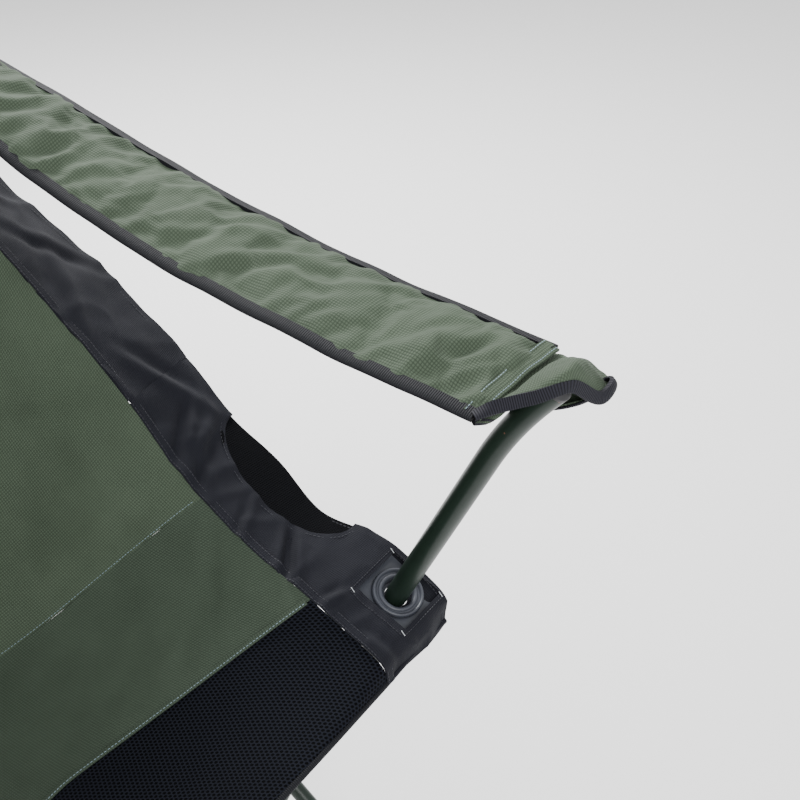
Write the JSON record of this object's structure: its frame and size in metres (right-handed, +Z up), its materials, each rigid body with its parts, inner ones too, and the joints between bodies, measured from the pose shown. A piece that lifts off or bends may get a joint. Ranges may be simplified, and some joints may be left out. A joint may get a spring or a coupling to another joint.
{
  "type": "folding chair",
  "caption": "Folding camp chair: crossed-pole frame with a cloth bucket seat and back, padded cloth armrests over bent arm posts, rings at the front corners",
  "frame": {"origin": "on the ground, in the middle of the whole chair", "axes": "+Z up, the sitter faces -Y, +X is the sitter's left"},
  "size_m": [0.6462, 0.8048, 0.9703],
  "materials": {
    "tube_paint": "gloss",
    "rivet_steel": "satin",
    "grey_plastic": "satin",
    "black_plastic": "matte",
    "ground_rubber": "matte",
    "green_cloth": "woven",
    "charcoal_cloth": "woven",
    "black_mesh": "spacer mesh",
    "webbing": "ribbed",
    "thread": "twisted"
  },
  "bodies": {
    "rear_left": {"foot_rear_left": "black_plastic", "foot_pins_rear_left": "rivet_steel", "ground_pad_rear_left": "ground_rubber", "back_post_left": "tube_paint", "back_cap_left": "black_plastic", "back_sleeve_left": "charcoal_cloth", "back_panel": "green_cloth"},
    "back_pole_a": {"pole_back_a": "tube_paint", "rivet_back": "rivet_steel"},
    "back_pole_b": {"pole_back_b": "tube_paint"},
    "rear_right": {"foot_rear_right": "black_plastic", "foot_pins_rear_right": "rivet_steel", "ground_pad_rear_right": "ground_rubber", "back_post_right": "tube_paint", "back_cap_right": "black_plastic", "back_sleeve_right": "charcoal_cloth"},
    "rear_left_hub": {"hub_rear_left": "black_plastic", "hub_pins_rear_left": "rivet_steel"},
    "rear_right_hub": {"hub_rear_right": "black_plastic", "hub_pins_rear_right": "rivet_steel"},
    "left_pole_a": {"pole_left_a": "tube_paint", "rivet_left": "rivet_steel"},
    "left_pole_b": {"pole_left_b": "tube_paint"},
    "front_left": {"foot_front_left": "black_plastic", "foot_pins_front_left": "rivet_steel", "ground_pad_front_left": "ground_rubber"},
    "front_left_hub": {"hub_front_left": "black_plastic", "hub_pins_front_left": "rivet_steel"},
    "right_pole_a": {"pole_right_a": "tube_paint", "rivet_right": "rivet_steel"},
    "right_pole_b": {"pole_right_b": "tube_paint"},
    "front_right": {"foot_front_right": "black_plastic", "foot_pins_front_right": "rivet_steel", "ground_pad_front_right": "ground_rubber"},
    "front_right_hub": {"hub_front_right": "black_plastic", "hub_pins_front_right": "rivet_steel"},
    "front_pole_a": {"pole_front_a": "tube_paint", "rivet_front": "rivet_steel"},
    "front_pole_b": {"pole_front_b": "tube_paint"},
    "arm_left": {"arm_post_left": "tube_paint", "arm_cap_left": "black_plastic", "corner_plate_left": "grey_plastic", "corner_ring_left": "grey_plastic", "arm_hood_left": "green_cloth"},
    "arm_right": {"arm_post_right": "tube_paint", "arm_cap_right": "black_plastic", "corner_plate_right": "grey_plastic", "corner_ring_right": "grey_plastic", "arm_hood_right": "green_cloth"},
    "arm_band_left": {"arm_pad_left": "green_cloth"},
    "arm_band_right": {"arm_pad_right": "green_cloth"},
    "seat": {"seat_front_mesh": "black_mesh", "seat_panel": "green_cloth", "side_band_left": "charcoal_cloth", "side_band_right": "charcoal_cloth", "mesh_inserts": "black_mesh"},
    "sling": {"sling_panel": "green_cloth", "sling_band_left": "charcoal_cloth", "sling_band_right": "charcoal_cloth"}
  },
  "joints": [
    {"name": "fold", "type": "hinge", "parent": "rear_left", "child": "back_pole_a", "pos_m": [0.23, 0.31, 0.04], "axis": [0, 1, 0], "range_deg": [0, 49], "deforming": ["back_panel", "back_sleeve_left", "back_sleeve_right"]},
    {"name": "back_crossing", "type": "hinge", "parent": "back_pole_a", "child": "back_pole_b", "pos_m": [0, 0.301, 0.201], "axis": [0, 1, 0], "range_deg": [-98, 0]},
    {"name": "rear_right_foot_pin", "type": "hinge", "parent": "back_pole_b", "child": "rear_right", "pos_m": [-0.23, 0.292, 0.04], "axis": [0, 1, 0], "range_deg": [0, 49]},
    {"name": "rear_left_hub_pin", "type": "hinge", "parent": "back_pole_b", "child": "rear_left_hub", "pos_m": [0.23, 0.292, 0.362], "axis": [0, 1, 0], "range_deg": [0, 49]},
    {"name": "rear_right_hub_pin", "type": "hinge", "parent": "back_pole_a", "child": "rear_right_hub", "pos_m": [-0.23, 0.31, 0.362], "axis": [0, 1, 0], "range_deg": [-49, 0]},
    {"name": "left_rear_foot_pin", "type": "hinge", "parent": "rear_left", "child": "left_pole_a", "pos_m": [0.269, 0.271, 0.04], "axis": [1, 0, 0], "range_deg": [-49, 0]},
    {"name": "left_crossing", "type": "hinge", "parent": "left_pole_a", "child": "left_pole_b", "pos_m": [0.26, 0.041, 0.201], "axis": [1, 0, 0], "range_deg": [0, 98]},
    {"name": "front_left_foot_pin", "type": "hinge", "parent": "left_pole_b", "child": "front_left", "pos_m": [0.251, -0.189, 0.04], "axis": [1, 0, 0], "range_deg": [-49, 0]},
    {"name": "front_left_hub_pin", "type": "hinge", "parent": "left_pole_a", "child": "front_left_hub", "pos_m": [0.269, -0.189, 0.362], "axis": [1, 0, 0], "range_deg": [0, 49]},
    {"name": "right_rear_foot_pin", "type": "hinge", "parent": "rear_right", "child": "right_pole_a", "pos_m": [-0.269, 0.271, 0.04], "axis": [1, 0, 0], "range_deg": [-49, 0]},
    {"name": "right_crossing", "type": "hinge", "parent": "right_pole_a", "child": "right_pole_b", "pos_m": [-0.26, 0.041, 0.201], "axis": [1, 0, 0], "range_deg": [0, 98]},
    {"name": "front_right_foot_pin", "type": "hinge", "parent": "right_pole_b", "child": "front_right", "pos_m": [-0.251, -0.189, 0.04], "axis": [1, 0, 0], "range_deg": [-49, 0]},
    {"name": "front_right_hub_pin", "type": "hinge", "parent": "right_pole_a", "child": "front_right_hub", "pos_m": [-0.269, -0.189, 0.362], "axis": [1, 0, 0], "range_deg": [0, 49]},
    {"name": "front_pole_foot_pin", "type": "hinge", "parent": "front_left", "child": "front_pole_a", "pos_m": [0.23, -0.228, 0.04], "axis": [0, 1, 0], "range_deg": [0, 49]},
    {"name": "front_crossing", "type": "hinge", "parent": "front_pole_a", "child": "front_pole_b", "pos_m": [0, -0.219, 0.201], "axis": [0, 1, 0], "range_deg": [-98, 0]},
    {"name": "arm_left_swing", "type": "hinge", "parent": "front_left_hub", "child": "arm_left", "pos_m": [0.26, -0.219, 0.394], "axis": [1, 0, 0], "range_deg": [-24.5, 0]},
    {"name": "arm_band_left_drop", "type": "hinge", "parent": "arm_left", "child": "arm_band_left", "pos_m": [0.268, -0.323, 0.668], "axis": [1, 0, 0], "range_deg": [-71.05, 0], "deforming": ["arm_pad_left"]},
    {"name": "arm_right_swing", "type": "hinge", "parent": "front_right_hub", "child": "arm_right", "pos_m": [-0.26, -0.219, 0.394], "axis": [1, 0, 0], "range_deg": [-24.5, 0]},
    {"name": "arm_band_right_drop", "type": "hinge", "parent": "arm_right", "child": "arm_band_right", "pos_m": [-0.268, -0.323, 0.668], "axis": [1, 0, 0], "range_deg": [-71.05, 0], "deforming": ["arm_pad_right"]},
    {"name": "seat_drop", "type": "hinge", "parent": "front_left_hub", "child": "seat", "pos_m": [0.26, -0.234, 0.4], "axis": [1, 0, 0], "range_deg": [-73.5, 0], "deforming": ["seat_front_mesh", "seat_panel", "side_band_left", "side_band_right", "mesh_inserts"]},
    {"name": "sling_drop", "type": "hinge", "parent": "rear_left", "child": "sling", "pos_m": [0.26, 0.277, 0.7], "axis": [1, 0, 0], "range_deg": [0, 36.75], "deforming": ["sling_panel", "sling_band_left", "sling_band_right"]}
  ],
  "couplings": [
    {"joint": "back_crossing", "follows": "fold", "ratio": -2},
    {"joint": "rear_right_foot_pin", "follows": "fold", "ratio": 1},
    {"joint": "rear_left_hub_pin", "follows": "fold", "ratio": 1},
    {"joint": "rear_right_hub_pin", "follows": "fold", "ratio": -1},
    {"joint": "left_rear_foot_pin", "follows": "fold", "ratio": -1},
    {"joint": "left_crossing", "follows": "fold", "ratio": 2},
    {"joint": "front_left_foot_pin", "follows": "fold", "ratio": -1},
    {"joint": "front_left_hub_pin", "follows": "fold", "ratio": 1},
    {"joint": "right_rear_foot_pin", "follows": "fold", "ratio": -1},
    {"joint": "right_crossing", "follows": "fold", "ratio": 2},
    {"joint": "front_right_foot_pin", "follows": "fold", "ratio": -1},
    {"joint": "front_right_hub_pin", "follows": "fold", "ratio": 1},
    {"joint": "front_pole_foot_pin", "follows": "fold", "ratio": 1},
    {"joint": "front_crossing", "follows": "fold", "ratio": -2},
    {"joint": "arm_left_swing", "follows": "fold", "ratio": -0.5},
    {"joint": "arm_band_left_drop", "follows": "fold", "ratio": -1.45},
    {"joint": "arm_right_swing", "follows": "fold", "ratio": -0.5},
    {"joint": "arm_band_right_drop", "follows": "fold", "ratio": -1.45},
    {"joint": "seat_drop", "follows": "fold", "ratio": -1.5},
    {"joint": "sling_drop", "follows": "fold", "ratio": 0.75}
  ]
}
